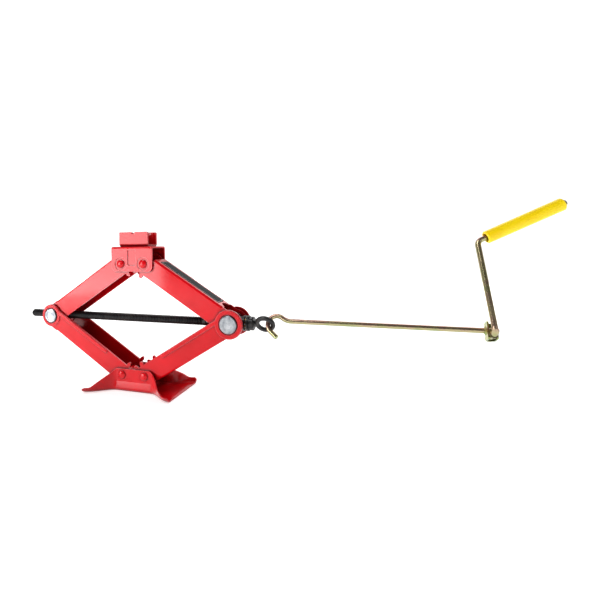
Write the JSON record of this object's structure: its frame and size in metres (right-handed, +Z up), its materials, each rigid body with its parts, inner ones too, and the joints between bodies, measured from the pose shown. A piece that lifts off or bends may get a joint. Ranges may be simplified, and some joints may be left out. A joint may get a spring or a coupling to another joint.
{
  "type": "scissor jack",
  "caption": "Scissor jack: toothed folding arms, cross screw with an eye, slotted saddle and flared foot, with a folding crank handle hooked into the eye.",
  "frame": {"origin": "on the ground under the middle of the foot", "axes": "+X along the lifting screw towards the crank handle, +Y to the back, +Z up"},
  "size_m": [0.8789, 0.1154, 0.3072],
  "materials": {
    "red_paint": "gloss",
    "bright_zinc": "satin",
    "black_steel": "satin",
    "yellow_zinc": "satin",
    "yellow_grip": "gloss"
  },
  "bodies": {
    "base": {"base_plate": "red_paint", "base_pin_left": "red_paint", "base_pin_right": "red_paint"},
    "lower_left": {"lower_left_arm": "red_paint"},
    "lower_right": {"lower_right_arm": "red_paint"},
    "upper_left": {"upper_left_arm": "red_paint"},
    "upper_right": {"upper_right_arm": "red_paint"},
    "left_knuckle": {"left_trunnion_nut": "bright_zinc"},
    "right_knuckle": {"right_trunnion": "bright_zinc", "thrust_seat_washer": "black_steel", "bearing_race_inner": "black_steel", "bearing_ball_cage": "black_steel"},
    "top": {"top_bracket": "red_paint", "top_pin_left": "red_paint", "top_pin_right": "red_paint", "saddle_pad": "red_paint", "saddle_rivet": "red_paint"},
    "screw": {"lead_screw": "black_steel", "screw_eye": "black_steel", "collar_pin": "black_steel", "bearing_race_outer": "black_steel"},
    "crank": {"crank_rod": "yellow_zinc", "crank_clip": "yellow_zinc", "crank_weld": "yellow_zinc"},
    "crank_arm": {"crank_arm": "yellow_zinc", "grip_cap": "yellow_zinc"},
    "grip": {"grip": "yellow_grip"}
  },
  "joints": [
    {"name": "lift", "type": "hinge", "parent": "base", "child": "lower_left", "pos_m": [-0.022, 0, 0.029], "axis": [0, 1, 0], "range_deg": [-24, 36]},
    {"name": "left_knuckle_trunnion", "type": "hinge", "parent": "lower_left", "child": "left_knuckle", "pos_m": [-0.17465, 0, 0.12438], "axis": [0, 1, 0], "range_deg": [-36, 24]},
    {"name": "left_knuckle_arm", "type": "hinge", "parent": "lower_left", "child": "upper_left", "pos_m": [-0.17465, 0, 0.12438], "axis": [0, 1, 0], "range_deg": [-72, 48]},
    {"name": "top_left_pivot", "type": "hinge", "parent": "upper_left", "child": "top", "pos_m": [-0.022, 0, 0.21977], "axis": [0, 1, 0], "range_deg": [-24, 36]},
    {"name": "top_right_pivot", "type": "hinge", "parent": "top", "child": "upper_right", "pos_m": [0.022, 0, 0.21977], "axis": [0, 1, 0], "range_deg": [-24, 36]},
    {"name": "base_right_pivot", "type": "hinge", "parent": "base", "child": "lower_right", "pos_m": [0.022, 0, 0.029], "axis": [0, 1, 0], "range_deg": [-36, 24]},
    {"name": "right_knuckle_trunnion", "type": "hinge", "parent": "lower_right", "child": "right_knuckle", "pos_m": [0.17465, 0, 0.12438], "axis": [0, 1, 0], "range_deg": [-24, 36]},
    {"name": "screw_spin", "type": "hinge", "parent": "right_knuckle", "child": "screw", "pos_m": [0.17465, 0, 0.12438], "axis": [1, 0, 0], "continuous": true},
    {"name": "crank_swing", "type": "hinge", "parent": "screw", "child": "crank", "pos_m": [0.24045, 0, 0.12438], "axis": [0, -0.5878, 0.809], "range_deg": [-30, 30]},
    {"name": "crank_fold", "type": "hinge", "parent": "crank", "child": "crank_arm", "pos_m": [0.54002, -0.00057, 0.12311], "axis": [0, -0.9135, 0.4067], "range_deg": [-5, 85]},
    {"name": "grip_spin", "type": "hinge", "parent": "crank_arm", "child": "grip", "pos_m": [0.52877, 0.02977, 0.25027], "axis": [0.891, 0.1847, 0.4147], "continuous": true}
  ],
  "couplings": [
    {"joint": "left_knuckle_trunnion", "follows": "lift", "ratio": -1},
    {"joint": "left_knuckle_arm", "follows": "lift", "ratio": -2},
    {"joint": "top_left_pivot", "follows": "lift", "ratio": 1},
    {"joint": "top_right_pivot", "follows": "lift", "ratio": 1},
    {"joint": "base_right_pivot", "follows": "lift", "ratio": -1},
    {"joint": "right_knuckle_trunnion", "follows": "lift", "ratio": 1}
  ]
}
